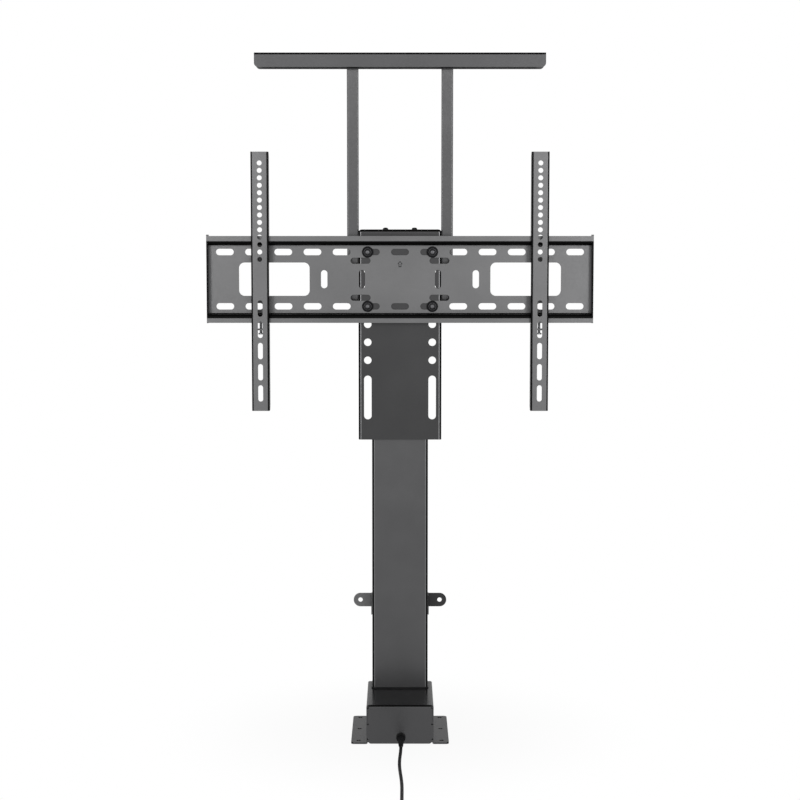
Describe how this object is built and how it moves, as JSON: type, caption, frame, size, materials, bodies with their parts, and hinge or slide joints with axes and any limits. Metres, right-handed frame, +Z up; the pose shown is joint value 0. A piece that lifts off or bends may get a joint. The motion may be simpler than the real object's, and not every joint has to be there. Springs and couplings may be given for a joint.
{
  "type": "tv lift",
  "caption": "Floor-standing motorised TV lift: a telescopic column on a folded motor housing carries a slotted rail with hook-on TV arms, and a bar on posts that raises the cabinet lid.",
  "frame": {"origin": "on the floor, at the middle of the base's footprint and of its six bolt holes", "axes": "+Z up, +X to the right and +Y to the back as seen from the front, where the TV hangs"},
  "size_m": [0.66, 0.6209, 1.1695],
  "materials": {
    "powder_coat": "satin",
    "zinc_steel": "zinc plated",
    "machined_steel": "machined",
    "black_screws": "black zinc",
    "black_plastic": "matte",
    "cable_jacket": "matte",
    "white_nylon": "matte",
    "brass": "machined",
    "cast_aluminium": "die cast",
    "motor_paint": "satin"
  },
  "bodies": {
    "base": {"base_housing": "powder_coat", "bottom_plate": "powder_coat", "housing_screws": "black_screws", "outer_tube": "powder_coat", "outer_collar": "black_plastic", "column_foot": "machined_steel", "foot_screws": "zinc_steel", "lower_bearing": "machined_steel", "left_wall_tab": "powder_coat", "right_wall_tab": "powder_coat", "tab_screws": "black_screws", "gearbox_body": "cast_aluminium", "gearbox_cover": "cast_aluminium", "gearbox_screws": "zinc_steel", "motor_can": "motor_paint", "cable_gland": "black_plastic", "cable": "cable_jacket", "cable_coil": "cable_jacket", "cable_connector": "black_plastic"},
    "lower_spindle": {"drive_spindle": "machined_steel", "worm_wheel": "brass"},
    "worm": {"worm_shaft": "machined_steel"},
    "middle_stage": {"middle_tube": "powder_coat", "middle_collar": "black_plastic", "middle_glide": "white_nylon", "middle_plug": "black_plastic", "upper_bearing": "machined_steel"},
    "hollow_spindle": {"hollow_spindle": "machined_steel", "travel_nut": "brass"},
    "inner_stage": {"inner_tube": "powder_coat", "inner_glide": "white_nylon", "inner_nut": "brass", "top_cap": "cast_aluminium", "head_plate": "powder_coat", "head_screws": "black_screws", "rail": "powder_coat", "rail_bolts": "zinc_steel", "rail_washers": "black_screws", "rail_nuts": "black_screws", "left_post": "powder_coat", "right_post": "powder_coat", "post_plugs": "black_plastic", "post_screws": "black_screws", "lid_bar": "powder_coat", "lid_screws": "black_screws"},
    "left_arm": {"left_arm": "powder_coat"},
    "right_arm": {"right_arm": "powder_coat"},
    "left_lock": {"left_lock_screw": "zinc_steel"},
    "right_lock": {"right_lock_screw": "zinc_steel"}
  },
  "joints": [
    {"name": "middle_slide", "type": "slide", "parent": "base", "child": "middle_stage", "axis": [0, 0, 1], "range_m": [0, 0.5]},
    {"name": "inner_slide", "type": "slide", "parent": "middle_stage", "child": "inner_stage", "axis": [0, 0, 1], "range_m": [0, 0.5]},
    {"name": "hollow_spindle_turn", "type": "hinge", "parent": "middle_stage", "child": "hollow_spindle", "pos_m": [0, 0.0555, 0], "axis": [0, 0, 1], "range_deg": [-9000, 0]},
    {"name": "lower_spindle_turn", "type": "hinge", "parent": "base", "child": "lower_spindle", "pos_m": [0, 0.0555, 0], "axis": [0, 0, 1], "range_deg": [-18000, 0]},
    {"name": "worm_turn", "type": "hinge", "parent": "base", "child": "worm", "pos_m": [0.0235, 0.0555, 0.033], "axis": [0, 1, 0], "range_deg": [0, 360000]},
    {"name": "left_arm_slide", "type": "slide", "parent": "inner_stage", "child": "left_arm", "axis": [1, 0, 0], "range_m": [-0.062, 0.138]},
    {"name": "right_arm_slide", "type": "slide", "parent": "inner_stage", "child": "right_arm", "axis": [1, 0, 0], "range_m": [-0.138, 0.062]},
    {"name": "left_lock_slide", "type": "slide", "parent": "left_arm", "child": "left_lock", "axis": [0, 0, 1], "range_m": [-0.012, 0]},
    {"name": "right_lock_slide", "type": "slide", "parent": "right_arm", "child": "right_lock", "axis": [0, 0, 1], "range_m": [-0.012, 0]}
  ],
  "couplings": [
    {"joint": "inner_slide", "follows": "middle_slide", "ratio": 1},
    {"joint": "hollow_spindle_turn", "follows": "middle_slide", "rad_per_m": -314.16},
    {"joint": "lower_spindle_turn", "follows": "middle_slide", "rad_per_m": -628.32},
    {"joint": "worm_turn", "follows": "middle_slide", "rad_per_m": 12566}
  ]
}
